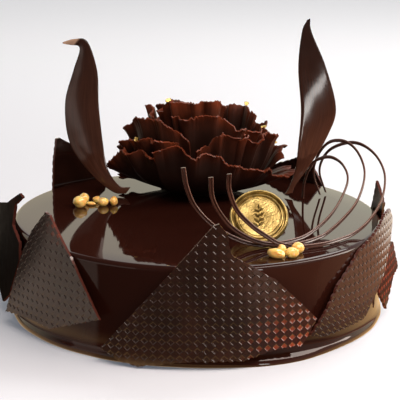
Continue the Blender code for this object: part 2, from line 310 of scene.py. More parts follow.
def store(tree, geometry, name, value, domain="POINT"):
    """The geometry with the value stored on it under that name."""
    return add(tree, "GeometryNodeStoreNamedAttribute",
               {"Geometry": geometry, "Name": name, "Value": value},
               data_type="FLOAT", domain=domain)


def hand_out(tree, geometry, material):
    """End a Geometry Nodes tree with that geometry, real and painted."""
    real = add(tree, "GeometryNodeRealizeInstances", {0: geometry})
    painted = add(tree, "GeometryNodeSetMaterial", {"Geometry": real, "Material": material})
    feed(tree.nodes.new("NodeGroupOutput"), {0: painted})


def embossed_panel_tree():
    """Geometry Nodes: an outline in the XY plane becomes a bent plate with rows of hollows."""
    tree, given = new_tree("embossed_panel", "GeometryNodeTree", {
        "Geometry": ["Outline"],
        "Float": ["Pitch Along", "Pitch Up", "Pit Depth", "Pit Opening", "Pit Floor",
                  "Pit Curve", "Pits Inside", "Thickness", "Bend Radius", "Face Radius", "Lean",
                  "Yaw", "Cake Height", "Facing", "Glow X", "Glow Y", "Glow Reach"],
        "Material": ["Chocolate"]}, {"Geometry": ["Panel"]})
    pitch = (given["Pitch Along"], given["Pitch Up"])
    depth, thick, inside = given["Pit Depth"], given["Thickness"], given["Pits Inside"]
    here = add(tree, "GeometryNodeInputPosition")

    def closed(sheet, height):
        """The solid between a flat sheet and its copy moved up by that height."""
        raised = add(tree, "GeometryNodeExtrudeMesh",
                     {"Mesh": sheet, "Offset": (0.0, 0.0, 1.0), "Offset Scale": height,
                      "Individual": False}, mode="FACES")
        under = add(tree, "GeometryNodeFlipFaces", {"Mesh": sheet})
        both = add(tree, "GeometryNodeJoinGeometry", {0: [raised, under]})
        return add(tree, "GeometryNodeMergeByDistance", {"Geometry": both, "Distance": 1e-6})

    def moved(geometry, **how):
        return add(tree, "GeometryNodeTransform", {"Geometry": geometry, **how})

    # How many hollows it takes each way to cover the outline, and where their middle is.
    box = add(tree, "GeometryNodeBoundBox", {0: given["Outline"]}).node.outputs
    low, high = split(tree, box["Min"]), split(tree, box["Max"])
    count, centre = [], []
    for axis in (0, 1):
        span = calc(tree, "SUBTRACT", high[axis], low[axis])
        cells = calc(tree, "CEIL", calc(tree, "DIVIDE", span, pitch[axis]))
        count.append(calc(tree, "ADD", cells, 2.0))
        centre.append(calc(tree, "MULTIPLY_ADD", span, 0.5, low[axis]))

    def grid(extra, height):
        """Points at the pitch over the outline's box, with `extra` more each way."""
        steps = [calc(tree, "ADD", c, extra) for c in count]
        size = [calc(tree, "MULTIPLY", calc(tree, "SUBTRACT", s, 1.0), p)
                for s, p in zip(steps, pitch)]
        flat = add(tree, "GeometryNodeMeshGrid",
                   {"Size X": size[0], "Size Y": size[1],
                    "Vertices X": calc(tree, "ADD", steps[0], 0.1),
                    "Vertices Y": calc(tree, "ADD", steps[1], 0.1)})
        return moved(flat, Translation=vector(tree, *centre, height))

    # The flat plate: a sheet with its face at height 0, cut to the outline.
    outline = closed(moved(given["Outline"], Translation=(0.0, 0.0, -0.01)), 0.02)
    sheet = closed(grid(1.0, calc(tree, "MULTIPLY", thick, -1.0)), thick)
    plate = add(tree, "GeometryNodeMeshBoolean", {"Mesh 2": [sheet, outline]},
                operation="INTERSECT", solver="EXACT")

    # The cutter starts as a pyramid one unit deep. Up to this level it fills the hollow, in
    # curved walls, and from there it only clears the plate's face.
    face_level, clearing = 0.75, 0.0002
    cone = add(tree, "GeometryNodeMeshCone",
               {"Vertices": 4, "Side Segments": 4, "Radius Top": given["Pit Opening"],
                "Radius Bottom": given["Pit Floor"], "Depth": 1.0})
    x, y, level = split(tree, here)
    below = calc(tree, "MAXIMUM", calc(tree, "MULTIPLY_ADD", level, -1.0 / face_level, 1.0), 0.0)
    risen = calc(tree, "SUBTRACT", 1.0, calc(tree, "POWER", below, given["Pit Curve"]))
    above = calc(tree, "MULTIPLY_ADD", level, clearing, -clearing * (face_level - 0.01))
    height = calc(tree, "MULTIPLY_ADD", risen, depth, calc(tree, "MAXIMUM", above, 0.0))
    cutter = add(tree, "GeometryNodeSetPosition",
                 {"Geometry": cone, "Position": vector(tree, x, y, height)})

    # Rows of cutters in the face, or turned over in the back where the hollows are inside.
    floor_at = calc(tree, "MULTIPLY_ADD", inside,
                    calc(tree, "SUBTRACT", calc(tree, "MULTIPLY", depth, 2.0), thick),
                    calc(tree, "MULTIPLY", depth, -1.0))
    rows = add(tree, "GeometryNodeInstanceOnPoints",
               {"Points": grid(0.0, floor_at), "Instance": cutter,
                "Rotation": vector(tree, calc(tree, "MULTIPLY", inside, math.pi)),
                "Scale": vector(tree, 1.0, calc(tree, "DIVIDE", pitch[1], pitch[0]), 1.0)})
    pits = add(tree, "GeometryNodeRealizeInstances", {0: rows})
    panel = add(tree, "GeometryNodeMeshBoolean", {"Mesh 1": plate, "Mesh 2": pits},
                operation="DIFFERENCE", solver="EXACT")

    # What the chocolate's look reads: how deep in a hollow, how near the spot of painted red glow,
    # and where the plate was broken.
    along, up, out = split(tree, here)
    sunk = calc(tree, "DIVIDE", calc(tree, "MULTIPLY", out, -1.0), depth)
    is_pit = calc(tree, "MULTIPLY", sunk, calc(tree, "LESS_THAN", sunk, 1.1), clamp=True)
    # How near the spot of painted red glow each point is.
    apart = add(tree, "ShaderNodeVectorMath",
                {0: here, 1: vector(tree, given["Glow X"], given["Glow Y"], out)},
                output="Value", operation="DISTANCE")
    is_painted_glow = calc(tree, "SUBTRACT", 1.0, calc(tree, "DIVIDE", apart, given["Glow Reach"]),
                   clamp=True)
    upright = split(tree, add(tree, "GeometryNodeInputNormal"))[2]
    is_edge = calc(tree, "LESS_THAN", calc(tree, "ABSOLUTE", upright), 0.3)
    panel = store(tree, panel, "pit", is_pit)
    panel = store(tree, panel, "thin", is_painted_glow)
    panel = store(tree, panel, "edge", is_edge, domain="FACE")

    # The plate is bent round an upright axis, leant on the glaze and turned to its place.
    turn = calc(tree, "DIVIDE", along, given["Bend Radius"])
    radius = calc(tree, "ADD", given["Bend Radius"], out)
    sideways = calc(tree, "MULTIPLY", radius, calc(tree, "SINE", turn))
    away = calc(tree, "MULTIPLY_ADD", radius, calc(tree, "COSINE", turn),
                calc(tree, "SUBTRACT", given["Face Radius"], given["Bend Radius"]))
    leaning = calc(tree, "SUBTRACT", 1.0, calc(tree, "DIVIDE", up, given["Cake Height"]))
    away = calc(tree, "MULTIPLY_ADD", leaning, given["Lean"], away)
    away = calc(tree, "MULTIPLY_ADD", along, given["Yaw"], away)
    bent = vector(tree, sideways, calc(tree, "MULTIPLY", away, -1.0), up)
    panel = add(tree, "GeometryNodeSetPosition", {"Geometry": panel, "Position": bent})
    hand_out(tree, moved(panel, Rotation=vector(tree, z=given["Facing"])), given["Chocolate"])
    return tree


def with_nodes(name, source, tree, values):
    """The plain mesh that a Geometry Nodes tree makes of source data with those input values."""
    carrier = in_scene(name, source)
    modifier = carrier.modifiers.new("making", "NODES")
    modifier.node_group = tree
    for item in tree.interface.items_tree:
        if item.in_out == "INPUT" and item.name in values:
            modifier[item.identifier] = values[item.name]
    graph = bpy.context.evaluated_depsgraph_get()
    made = bpy.data.meshes.new_from_object(carrier.evaluated_get(graph))
    bpy.data.objects.remove(carrier, do_unlink=True)
    return made


def broken_edge(outline, scalloped):
    """The outline in metres, with one lobe for each row of hollows on the scalloped edges and
    slight unevenness on the cut ones."""
    points = []
    for n, (x0, y0) in enumerate(outline):
        x1, y1 = outline[(n + 1) % len(outline)]
        lobes = max(1, round(MM * math.hypot(x1 - x0, y1 - y0) / PIT_ALONG))
        inward = Vector((-(y1 - y0), x1 - x0)).normalized()
        for step in range(4 * lobes):
            t = step / (4 * lobes)
            spot = MM * Vector((x0 + (x1 - x0) * t, y0 + (y1 - y0) * t))
            cut = BREAK_DEPTH * (1.0 + noise.noise(Vector((spot.x, spot.y, 0.0)) * 900.0))
            if n in scalloped:
                cut += SCALLOP_DEPTH * (1.0 - math.sin(math.pi * (step % 4) / 4.0))
            points.append(spot + inward * (cut if step else 0.0))
    return points


def embossed_panel(node, outline, facing, bend, lean, scalloped, yaw=0.0, away=0.0,
                   thin=(0.0, 0.0, 0.001), pits_inside=0.0, look=None):
    """outline is (along, height) in mm and the scalloped edges go by number. thin is the
    middle and reach, in mm, of a painted red glow, as if light came through the plate there."""
    work = bmesh.new()
    work.faces.new([work.verts.new((x, y, 0.0)) for x, y in broken_edge(outline, scalloped)])
    source = bpy.data.meshes.new(node)
    work.to_mesh(source)
    work.free()
    mesh = with_nodes(node, source, PANEL_TREE, {
        "Pitch Along": PIT_ALONG, "Pitch Up": PIT_UP, "Pit Depth": PIT_DEPTH,
        "Pit Opening": PIT_OPENING, "Pit Floor": PIT_FLOOR, "Pit Curve": PIT_CURVE,
        "Pits Inside": pits_inside, "Thickness": PANEL_T, "Bend Radius": bend,
        "Face Radius": PANEL_FACE_R + away, "Lean": lean, "Yaw": yaw, "Cake Height": CAKE_H,
        "Facing": math.radians(facing), "Glow X": thin[0] * MM, "Glow Y": thin[1] * MM,
        "Glow Reach": thin[2] * MM, "Chocolate": look or PANEL_CHOCOLATE})
    as_piece(node + "_embossed", shaded(mesh, sharp=18.0), "panel_chocolate", node)


PANEL_TREE = embossed_panel_tree()
PANEL_CHOCOLATE = embossed_chocolate("embossed_chocolate", 1.60, (0.011, 0.0038, 0.0024),
                                     (0.022, 0.0076, 0.0048), gloss=(0.11, 0.18))
# Painted shade: a darker copy of the embossed chocolate for a panel that stands in shadow.
PAINTED_SHADE_PANEL = embossed_chocolate("painted_shade_chocolate", 1.12, (0.0060, 0.0022, 0.0016),
                                  (0.0120, 0.0042, 0.0030), gloss=(0.25, 0.38))
# Painted shade: a near-black copy with little shine, for the panel whose plain back faces out.
PAINTED_SHADE_BACK = embossed_chocolate("painted_shade_back_chocolate", 1.04, (0.0035, 0.0028, 0.0028),
                                (0.0065, 0.0045, 0.0042), gloss=(0.5, 0.62))

embossed_panel("panel_front",
               [(-60, 9), (-49, 3), (-38, 1), (-12, 5), (20, 5), (38, 10), (54, 10), (58, 15),
                (64, 24), (38, 49), (13, 64), (11, 75), (6, 81), (3, 80), (-29, 44)],
               facing=3, bend=0.130, lean=0.005, scalloped=(0, 1, 2, 3, 4, 5, 6, 7, 10),
               thin=(52, 10, 36))
embossed_panel("panel_right",
               [(-46, 15), (-34, 12), (3, 13), (14, 20), (34, 31), (52, 47), (61, 58), (52, 66),
                (39, 66), (27, 61), (0, 54), (-22, 39), (-35, 24)],
               facing=55, bend=0.160, lean=0.004, scalloped=(1, 3, 4, 7, 8, 9, 10, 11, 12))
embossed_panel("panel_right_far",
               [(-20, 27), (-19, 18), (-7, 6), (14, 20), (30, 21), (16, 41), (6, 45), (-10, 38)],
               facing=82, bend=0.400, lean=0.004, scalloped=(0, 1, 2, 5, 6, 7),
               yaw=0.20, away=0.0012, thin=(2, 25, 60), look=PAINTED_SHADE_PANEL)
embossed_panel("panel_right_rear",
               [(-17, 8), (17, 5), (8, 30), (-11, 56), (-20, 74), (-35, 64), (-29, 50),
                (-20, 38)],
               facing=110, bend=0.160, lean=0.003, scalloped=(2, 3, 6, 7))
embossed_panel("panel_rear_right",
               [(-24, 12), (0, 5), (22, 7), (30, 16), (20, 62), (-4, 71), (-14, 72), (-30, 50)],
               facing=147, bend=0.150, lean=0.003, scalloped=(0, 1, 4, 5))
embossed_panel("panel_rear",
               [(-20, 10), (4, 3), (26, 8), (14, 44), (4, 74), (0, 75), (-6, 66)],
               facing=190, bend=0.150, lean=0.003, scalloped=(0, 1, 2))
embossed_panel("panel_rear_left",
               [(-28, 24), (-8, 8), (14, 6), (27, 12), (27, 74), (25, 88), (22, 88), (-4, 74),
                (-16, 66), (-24, 48)],
               facing=222, bend=0.150, lean=0.003, scalloped=(0, 1, 2))
embossed_panel("panel_left_rear",
               [(-55, 30), (-31, 15), (-5, 7), (11, 16), (28, 42), (26, 52), (9, 58), (13, 71),
                (28, 79), (22, 80), (-8, 67), (-51, 56)],
               facing=282, bend=0.400, lean=0.004, scalloped=(), yaw=-0.10, away=0.0016,
               thin=(8, 78, 16), pits_inside=1.0, look=PAINTED_SHADE_BACK)
embossed_panel("panel_left",
               [(-44, 9), (-15, 12), (3, 11), (41, 25), (17, 55), (-3, 75), (-7, 76), (-19, 63),
                (-27, 50)],
               facing=313, bend=0.220, lean=0.005, scalloped=(0, 1, 2), thin=(6, 70, 12))

# ==== the tall leaves =============================================================================
# Two long leaves of tempered chocolate, spread thin on a strip of foil and set over a curve, so
# they are satin outside and cupped. Each stands on its narrow foot, pushed into the soft glaze.
LEAF_T = 0.0014
LEAF_SETTLE = 0.026
LEAF_RIPPLE = 0.0001


def leaf_chocolate():
    """Lighter toward the foot in drawn-out streaks, a painted sheen, and much lighter where the
    tip turns over.
    """
    made, tree, shader = new_material("leaf_chocolate")
    base = place_grain(tree, shader, (0.0095, 0.0034, 0.0022), (0.020, 0.0074, 0.0048),
                       cloud=22.0, gloss=(0.12, 0.17), bump=0.05)
    along, across, under = (stored(tree, name) for name in ("along", "across", "turned_over"))
    # Painted sheen: lighter streaks drawn along the leaf, growing toward the foot.
    drawn = vector(tree, calc(tree, "MULTIPLY", across, 9.0), along)
    lower = calc(tree, "MULTIPLY", calc(tree, "MULTIPLY", along, along), 0.09)
    painted_sheen = calc(tree, "MULTIPLY", clouds(tree, 2.2, 3.0, drawn), lower)
    colour = layered(tree, base, (painted_sheen, (0.120, 0.044, 0.026)), (under, (0.30, 0.205, 0.150)))
    feed(shader, {"IOR": 1.45, "Base Color": colour})
    return made


def smooth_path(points, pieces):
    """Evenly spaced points of a Catmull-Rom curve through the given points."""
    first = [2.0 * a - b for a, b in zip(points[0], points[1])]
    last = [2.0 * a - b for a, b in zip(points[-1], points[-2])]
    chain = [first, *points, last]
    spans = len(points) - 1
    path = []
    for n in range(pieces + 1):
        at = spans * n / pieces
        i = min(spans - 1, int(at))
        t = at - i
        path.append([
            0.5 * (2.0 * b + (c - a) * t + (2.0 * a - 5.0 * b + 4.0 * c - d) * t ** 2
                   + (3.0 * b - a - 3.0 * c + d) * t ** 3)
            for a, b, c, d in zip(*chain[i:i + 4])
        ])
    return path


def thin_solid(rows, thickness):
    """A closed bmesh sheet through rows of points, as thick at each as thickness says. Its first
    vertices are the front's points row by row, and as many more are the back's."""
    high, wide = len(rows), len(rows[0])

    def point(j, i):
        return Vector(rows[min(max(j, 0), high - 1)][min(max(i, 0), wide - 1)])

    work = bmesh.new()
    faces = []
    for side in (0.5, -0.5):
        grid = []
        for j in range(high):
            line = []
            for i in range(wide):
                normal = (point(j, i + 1) - point(j, i - 1)).cross(
                    point(j + 1, i) - point(j - 1, i)).normalized()
                line.append(work.verts.new(point(j, i) + normal * side * thickness[j][i]))
            grid.append(line)
        faces.append(grid)
    front, back = faces
    for j in range(high - 1):
        for i in range(wide - 1):
            work.faces.new((front[j][i], front[j][i + 1], front[j + 1][i + 1], front[j + 1][i]))
            work.faces.new((back[j][i], back[j + 1][i], back[j + 1][i + 1], back[j][i + 1]))
    border = [(0, i) for i in range(wide)] + [(j, wide - 1) for j in range(1, high)]
    border += [(high - 1, i) for i in range(wide - 2, -1, -1)]
    border += [(j, 0) for j in range(high - 2, 0, -1)]
    for (j, i), (k, l) in zip(border, border[1:] + border[:1]):
        work.faces.new((front[j][i], back[j][i], back[k][l], front[k][l]))
    return work


def mark(mesh, name, front, back=None):
    """Store rows of values on a thin solid's points; the back has the front's if none is given."""
    flat = [value for rows in (front, back or front) for row in rows for value in row]
    mesh.attributes.new(name, "FLOAT", "POINT").data.foreach_set("value", flat)


def curled_leaf(node, left_edge, right_edge, foot_y, body_y, tip_forward, hollow, turn_at,
                slope, turned_over=0.0, rows=72, columns=20):
    """Both edges are (x, z) in mm from the tip down to the foot. hollow: how deep it is cupped.
    turn_at: the (x, z) of the slanting line where it bends most, and slope: how much it is turned
    to one side there. turned_over: the share from the tip that turns over, coloured lighter."""
    sheet, thickness, along, across, under = [], [], [], [], []
    facing = math.copysign(0.83, slope)
    edges = zip(smooth_path(left_edge, rows), smooth_path(right_edge, rows))
    for j, ((x0, z0), (x1, z1)) in enumerate(edges):
        # From 0 at the foot to 1 where the leaf has come to its full lean and bend.
        rise = min(1.0, max(0.0, (MM * (z0 + z1) / 2.0 - CAKE_H) / LEAF_SETTLE))
        bow = tip_forward * max(0.0, 1.0 - 5.0 * j / rows) ** 1.3
        y = foot_y + (body_y - foot_y) * math.sin(rise * math.pi / 2.0) - bow
        cup = hollow * min(1.0, abs(x1 - x0) / 14.0)
        row = []
        for i in range(columns + 1):
            u = i / columns
            x, z = x0 + (x1 - x0) * u, z0 + (z1 - z0) * u
            ripple = LEAF_RIPPLE * noise.noise(Vector((u * 2.0, j * 0.08, x0)))
            side, up = x - turn_at[0], z - turn_at[1]
            bent = slope * side + 0.15 * up / (1.0 + (up / 45.0) ** 4) ** 0.25
            bent += 1.7 * (math.hypot(1.0, (facing * side - 0.56 * up) / 10.0) - 1.0)
            row.append((MM * x, y + cup * 4.0 * u * (1.0 - u) + ripple + MM * bent * rise,
                        MM * z))
        sheet.append(row)
        thickness.append([LEAF_T * (1.0 - 0.45 * abs(2.0 * i / columns - 1.0) ** 40)
                          for i in range(columns + 1)])
        along.append([4.0 * j / rows] * (columns + 1))
        across.append([i / columns for i in range(columns + 1)])
        under.append([min(1.0, max(0.0, rows * turned_over - j))] * (columns + 1))
    mesh = mesh_of(thin_solid(sheet, thickness), node, LEAF_CHOCOLATE, sharp=60.0)
    mark(mesh, "along", along)
    mark(mesh, "across", across)
    mark(mesh, "turned_over", under)
    as_piece(node + "_curled", mesh, "leaf_chocolate", node)


LEAF_CHOCOLATE = leaf_chocolate()

curled_leaf("leaf_left",
            [(-84, 149.6), (-80, 148.4), (-74, 146), (-78, 132), (-83, 112), (-80, 88), (-67, 70),
             (-53, 59), (-45, 58)],
            [(-84, 150.3), (-77, 152), (-69, 150), (-63, 132), (-62, 112), (-59, 88), (-56, 73),
             (-49, 63), (-42, 62)],
            foot_y=0.0425, body_y=0.0500, tip_forward=0.006, hollow=-0.0010, turn_at=(-73, 96),
            slope=-0.25, turned_over=0.17)
curled_leaf("leaf_right",
            [(66, 165), (63, 158), (61, 137), (63, 111), (62, 92), (60, 72), (56, 61), (54, 58)],
            [(68, 166), (69, 158), (78, 137), (85, 111), (80, 94), (70, 77), (61, 64), (59, 59)],
            foot_y=0.0450, body_y=0.0510, tip_forward=-0.001, hollow=0.0, turn_at=(72.7, 120.6),
            slope=0.24)

# ==== the flower ==================================================================================
# Fans scraped from a slab of set chocolate. Each gathers in folds at its foot and flares to a thin
# torn rim, painted with a warm glow as if light came through; they stand in rings, one inside
# the other.
FLOWER_Y = 0.058
FLOWER_DEPTH = 0.80
FAN_T = 0.0010
RIM_T = 0.0008
RIM_SWELL_MM = 0.9
RIM_TEETH_MM = 1.3
RIM_BITES_MM = 2.8
RIMS = {}


def flower_chocolate():
    """Painted shade deep down between the fans and inside the cups, and a painted warm glow in
    patches along the rims.
    """
    made, tree, shader = new_material("flower_chocolate")
    base = place_grain(tree, shader, (0.012, 0.0050, 0.0036), (0.028, 0.0116, 0.0082),
                       cloud=45.0, gloss=(0.30, 0.46), bump=0.35)
    # Painted light: a warm glow near the rims, patchy, as if light came through them.
    patch = spread(tree, clouds(tree, 130.0, 3.0), 0.3, 0.7, 0.35, 1.0)
    painted_rim_glow = calc(tree, "MULTIPLY", stored(tree, "rim"), patch)
    # Painted shade deep down between the fans, then the painted warm glow near the rims.
    colour = layered(tree, base, (stored(tree, "deep"), (0.009, 0.0036, 0.0026)),
                     (painted_rim_glow, (0.155, 0.030, 0.010)))
    feed(shader, {"IOR": 1.27, "Base Color": colour})
    return made


def cup_radius(z):
    """Radius in mm of the outermost cup, z mm above the cake's top."""
    return 12.0 + 46.0 * (1.0 - math.exp(-z / 8.0)) + 0.2 * z


def between(values, u):
    """Value at u, from 0 to 1, along evenly spaced values."""
    at = u * (len(values) - 1)
    i = min(len(values) - 2, int(at))
    return values[i] + (values[i + 1] - values[i]) * (at - i)


def torn_fan(node, turn, nest, tops, foot, ruffles, sway, phase, columns, frill=1.4,
             gather=13.0, glow=2.2, flare=(0.0, 0.0), rows=26):
    """turn: its two ends, in degrees round the flower from the front. nest: the size of its cup at
    both ends, 1 being the outermost. tops: heights of its rim, and foot: of its lower edge, in mm
    above the cake. It has `ruffles` folds that swing its cup's size by `sway` at the rim. frill
    and gather: depth and width in mm of the small ruffles. glow: how many mm down from the rim
    the painted warm glow reaches. flare: how many mm further out than the cup the rim bends."""
    width = abs(turn[1] - turn[0]) * sum(nest) / 2.0
    sheet, thickness, rim = ([[] for j in range(rows + 1)] for part in range(3))
    for i in range(columns + 1):
        u = i / columns
        phi = math.radians(turn[0] + (turn[1] - turn[0]) * u)
        fold = 2.0 * math.pi * ruffles * u
        wave = math.sin(fold + phase) + 0.35 * math.sin(1.7 * fold + 2.1 * phase)
        spot = u * width

        def uneven(scale, seed):
            return noise.noise(Vector((spot * scale, phase, seed)))

        # The small ruffles, and the rim's height with its swells, ragged teeth and torn bites.
        pleat = math.pi * (spot / gather + 1.1 * uneven(0.05, 3.0))
        strength = frill * (0.85 + 1.1 * uneven(0.07, 9.0))
        bulge = strength * (1.6 * abs(math.cos(pleat)) - 1.0)
        slide = 0.6 * strength * math.sin(2.0 * pleat)
        top = between(tops, u) - 0.45 * bulge + RIM_SWELL_MM * uneven(0.25, 17.0)
        top += RIM_TEETH_MM * uneven(1.2, 21.0)
        top -= RIM_BITES_MM * max(0.0, uneven(0.55, 25.0) - 0.20)
        curl = 0.8 + 1.4 * uneven(0.16, 31.0)
        bend = between(flare, u)
        for j in range(rows + 1):
            # From 0 at the foot to 1 at the rim. Each high power of t acts near the rim only.
            t = 1.0 - (1.0 - j / rows) ** 1.6
            z = foot + (top - foot) * t ** 1.4
            size = nest[0] + (nest[1] - nest[0]) * u + 0.8 * sway * t ** 1.2 * wave
            r = size * cup_radius(z)
            drift = 1.2 * math.sin(2.2 * t + 6.0 * uneven(0.03, 41.0)) * t
            turn_here = phi + (slide * t ** 3 + drift) / r
            r += bulge * t ** 4 + 0.9 * uneven(0.4, 13.0) * t ** 6
            r += bend * t ** 3 + 1.5 * t ** 4 + 2.1 * curl * t ** 12
            z -= 1.7 * max(0.0, curl) * t ** 18
            sheet[j].append((MM * r * math.sin(turn_here),
                             FLOWER_Y - FLOWER_DEPTH * MM * r * math.cos(turn_here),
                             CAKE_H + MM * z))
            thickness[j].append(FAN_T + (RIM_T - FAN_T) * t ** 3)
            # How near the rim: the share of painted warm glow.
            rim[j].append(math.exp(-(1.0 - t) * (top - foot) / glow))
    # How much painted shade each side gets: more toward the foot, and most on a cup's inner side.
    outside, inside = ([[least + more * (1.0 - j / rows) ** 1.3] * (columns + 1)
                        for j in range(rows + 1)] for least, more in ((0.0, 0.75), (0.45, 0.4)))
    mesh = mesh_of(thin_solid(sheet, thickness), node, FLOWER_CHOCOLATE, sharp=70.0)
    mark(mesh, "rim", rim)
    mark(mesh, "deep", *((outside, inside) if turn[0] < turn[1] else (inside, outside)))
    as_piece(node + "_torn", mesh, "flower_chocolate", node)
    RIMS[node] = sheet[-1]


FLOWER_CHOCOLATE = flower_chocolate()

torn_fan("fan_a_left", (-150, -20), (0.98, 0.76), [17, 13, 10, 8, 7, 11, 24, 33, 33, 32, 33],
         foot=1.1, ruffles=5.5, sway=0.045, phase=0.4, columns=234, frill=1.0, gather=21.0,
         flare=(0, 0, 2, 5, 8, 7, 3, 0, 0, 0, 0))
torn_fan("fan_a_front", (-24, 106), (1.00, 0.95),
         [38, 39, 42, 42, 35, 38, 37, 34, 31, 29, 27, 25, 26, 25, 22, 19, 18, 17, 15, 14, 16,
          17, 16, 15, 15, 15, 15],
         foot=1.1, ruffles=6.0, sway=0.048, phase=2.0, columns=252, frill=1.0, gather=19.0,
         flare=(0, 0, 0, 0, 0, 1, 3, 5, 5, 3))
torn_fan("fan_a_rear", (185, 120), (0.86, 0.94), [22, 26, 21, 24, 20],
         foot=1.1, ruffles=3.0, sway=0.045, phase=1.0, columns=126)
torn_fan("fan_b_left", (-116, -15), (0.78, 0.66), [24, 27, 31, 35, 38, 40, 41, 38],
         foot=6.5, ruffles=4.5, sway=0.044, phase=2.4, columns=216, frill=1.1, glow=3.0)
torn_fan("fan_b_front", (-3, 70), (0.72, 0.76),
         [36, 38, 42, 46, 46, 41, 44, 42, 46, 45, 43, 42, 40],
         foot=6.5, ruffles=5.0, sway=0.052, phase=0.6, columns=216, frill=2.6, gather=8.5,
         glow=3.6)
torn_fan("fan_b_right", (78, 150), (0.79, 0.75), [26, 31, 27, 33, 30, 32],
         foot=6.5, ruffles=4.0, sway=0.042, phase=1.5, columns=144, frill=2.2, gather=9.0)
torn_fan("fan_b_rear", (158, 232), (0.69, 0.69), [30, 27, 32, 28, 31],
         foot=6.5, ruffles=3.0, sway=0.036, phase=0.5, columns=126)
torn_fan("fan_c_left", (-118, -9), (0.64, 0.55),
         [32, 35, 38, 42, 46, 50, 53, 52, 52, 50, 45, 40],
         foot=5.5, ruffles=4.0, sway=0.040, phase=0.9, columns=198, frill=1.1, gather=15.0,
         glow=3.6)
torn_fan("fan_c_front", (-28, 74), (0.44, 0.58),
         [54, 55, 54, 55, 56, 56, 52, 48, 45, 44, 43, 42],
         foot=5.5, ruffles=4.0, sway=0.034, phase=3.6, columns=198, frill=1.1, gather=14.0,
         glow=3.2)
torn_fan("fan_c_right", (80, 160), (0.61, 0.56), [40, 44, 41, 45, 43],
         foot=5.5, ruffles=3.5, sway=0.036, phase=2.2, columns=126, glow=3.2)
torn_fan("fan_c_rear", (168, 236), (0.52, 0.54), [44, 40, 45, 41],
         foot=5.5, ruffles=2.5, sway=0.034, phase=1.2, columns=108)
torn_fan("fan_d_left", (-128, -74), (0.44, 0.40), [48, 54, 55, 49],
         foot=3.5, ruffles=2.0, sway=0.040, phase=0.8, columns=90, gather=9.0, glow=4.4)
torn_fan("fan_d_front", (-66, 44), (0.325, 0.30), [58, 61, 61, 61, 61, 62, 62, 61, 58],
         foot=3.5, ruffles=3.5, sway=0.038, phase=2.8, columns=180, frill=1.0, gather=11.0,
         glow=7.2)
torn_fan("fan_d_right", (86, 172), (0.46, 0.42), [48, 53, 53, 52, 50, 48],
         foot=3.5, ruffles=3.0, sway=0.036, phase=0.2, columns=126, frill=1.0, glow=3.2)
torn_fan("fan_d_rear", (182, 286), (0.34, 0.31), [52, 56, 53, 56, 52],
         foot=3.5, ruffles=3.0, sway=0.032, phase=1.9, columns=126, frill=1.2, gather=9.0)
torn_fan("fan_heart", (-120, 200), (0.13, 0.19), [50, 54, 52, 55, 53, 54],
         foot=3.5, ruffles=3.0, sway=0.018, phase=0.0, columns=162, frill=0.8, gather=6.0)

# ==== the strands =================================================================================
# Three threads of tempered chocolate, drawn with a notched comb so that a groove runs along each,
# and bent while soft. They are cut straight at the free end and thin out toward the loops.
STRAND_R = 0.0012
STRAND_THINNING = 0.32
CLEAR = 0.0003


def strand_chocolate():
    """Paler along both sides: a painted sheen."""
    made, tree, shader = new_material("strand_chocolate")
    base = place_grain(tree, shader, (0.028, 0.0096, 0.0064), (0.054, 0.0200, 0.0136),
                       cloud=70.0, gloss=(0.15, 0.26), bump=0.15)
    # Painted sheen along both sides of the thread.
    painted_side_sheen = calc(tree, "MULTIPLY", stored(tree, "edge"), 0.7)
    feed(shader, {"IOR": 1.45,
                  "Base Color": blend_colour(tree, painted_side_sheen, base, (0.16, 0.075, 0.055))})
    return made


def grooved_strand_tree():
    """Geometry Nodes: a path becomes a thread with a flat oval section, grooved on its outside."""
    tree, given = new_tree("grooved_strand", "GeometryNodeTree", {
        "Geometry": ["Path"],
        "Float": ["Half Width", "Half Depth", "Groove Depth", "Groove Width", "Thinning"],
        "Material": ["Chocolate"]}, {"Geometry": ["Strand"]})
    here = add(tree, "GeometryNodeInputPosition")
    outward = add(tree, "ShaderNodeVectorMath", {0: here, 1: (1.0, 1.0, 0.0)},
                  operation="MULTIPLY")
    path = add(tree, "GeometryNodeSetCurveNormal", {"Curve": given["Path"], "Normal": outward},
               mode="FREE")
    x, y, z = split(tree, here)
    across = calc(tree, "DIVIDE", y, given["Groove Width"])
    dip = calc(tree, "EXPONENT",
               calc(tree, "MULTIPLY", calc(tree, "MULTIPLY", across, across), -1.0))
    dip = calc(tree, "MULTIPLY", dip, calc(tree, "MAXIMUM", x, 0.0))
    dip = calc(tree, "MULTIPLY", dip, given["Groove Depth"])
    deep = calc(tree, "SUBTRACT", calc(tree, "MULTIPLY", x, given["Half Depth"]), dip)
    oval = vector(tree, deep, calc(tree, "MULTIPLY", y, given["Half Width"]))
    ring = add(tree, "GeometryNodeCurvePrimitiveCircle", {"Resolution": 20, "Radius": 1.0})
    # How near each point is to the thread's sides, for the painted sheen.
    ring = store(tree, ring, "edge", calc(tree, "POWER", calc(tree, "ABSOLUTE", y), 3.0))
    ring = add(tree, "GeometryNodeSetPosition", {"Geometry": ring, "Position": oval})
    far = add(tree, "GeometryNodeSplineParameter", output="Factor")
    size = calc(tree, "SUBTRACT", 1.0, calc(tree, "MULTIPLY", far, given["Thinning"]))
    thread = add(tree, "GeometryNodeCurveToMesh",
                 {"Curve": path, "Profile Curve": ring, "Scale": size, "Fill Caps": True})
    hand_out(tree, thread, given["Chocolate"])
    return tree


